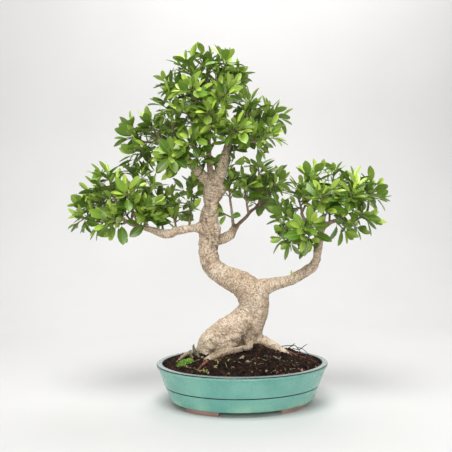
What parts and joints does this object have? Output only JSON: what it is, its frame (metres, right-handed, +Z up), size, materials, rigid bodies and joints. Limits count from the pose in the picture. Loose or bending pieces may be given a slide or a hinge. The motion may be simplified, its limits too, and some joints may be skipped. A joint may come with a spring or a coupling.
{
  "type": "chinese banyan bonsai",
  "caption": "Bonsai fig tree with a curved trunk, surface roots and leafy pads, growing in mounded soil in an oval glazed pot that stands on feet.",
  "frame": {"origin": "middle of the whole object's box, at the underside of the pot's feet", "axes": "+X along the pot's long side, to the right seen from the front; +Y away from the viewer; +Z up"},
  "size_m": [0.6372, 0.27, 0.7145],
  "materials": {
    "glaze": "gloss",
    "soil": "matte",
    "mesh": "matte",
    "bark": "matte",
    "leaf_green": "satin",
    "leaf_light": "satin",
    "leaf_dark": "satin"
  },
  "bodies": {
    "root": {"pot": "glaze", "soil": "soil", "drain_mesh_left": "mesh", "drain_mesh_right": "mesh", "trunk": "bark", "spray_crown_left_1": "leaf_green", "spray_crown_left_2": "leaf_light", "spray_crown_left_3": "leaf_dark", "spray_crown_left_4": "leaf_green", "spray_crown_left_5": "leaf_light", "spray_crown_left_6": "leaf_dark", "spray_crown_right_1": "leaf_green", "spray_crown_right_2": "leaf_light", "spray_crown_right_3": "leaf_dark", "spray_crown_right_4": "leaf_green", "spray_crown_right_5": "leaf_light", "spray_heart_1": "leaf_dark", "spray_heart_2": "leaf_green", "spray_heart_3": "leaf_light", "spray_heart_4": "leaf_dark", "spray_left_middle_1": "leaf_green", "spray_left_middle_2": "leaf_light", "spray_left_middle_3": "leaf_dark", "spray_left_pad_1": "leaf_dark", "spray_left_pad_10": "leaf_dark", "spray_left_pad_2": "leaf_green", "spray_left_pad_3": "leaf_light", "spray_left_pad_4": "leaf_dark", "spray_left_pad_5": "leaf_green", "spray_left_pad_6": "leaf_light", "spray_left_pad_7": "leaf_dark", "spray_left_pad_8": "leaf_green", "spray_left_pad_9": "leaf_light", "spray_right_inner_1": "leaf_light", "spray_right_middle_1": "leaf_green", "spray_right_middle_2": "leaf_light", "spray_right_middle_3": "leaf_dark", "spray_right_middle_4": "leaf_green", "spray_right_pad_far_1": "leaf_light", "spray_right_pad_far_2": "leaf_dark", "spray_right_pad_far_3": "leaf_green", "spray_right_pad_far_4": "leaf_light", "spray_right_pad_far_5": "leaf_dark", "spray_right_pad_far_6": "leaf_green", "spray_right_pad_far_7": "leaf_light", "spray_right_pad_near_1": "leaf_dark", "spray_right_pad_near_2": "leaf_green", "spray_right_pad_near_3": "leaf_light", "spray_right_pad_near_4": "leaf_dark", "spray_right_pad_near_5": "leaf_green", "spray_top_1": "leaf_green", "spray_top_2": "leaf_light", "spray_top_3": "leaf_dark", "spray_top_4": "leaf_green", "spray_top_5": "leaf_light", "spray_top_6": "leaf_dark", "spray_top_7": "leaf_green", "spray_top_8": "leaf_light"}
  },
  "joints": []
}
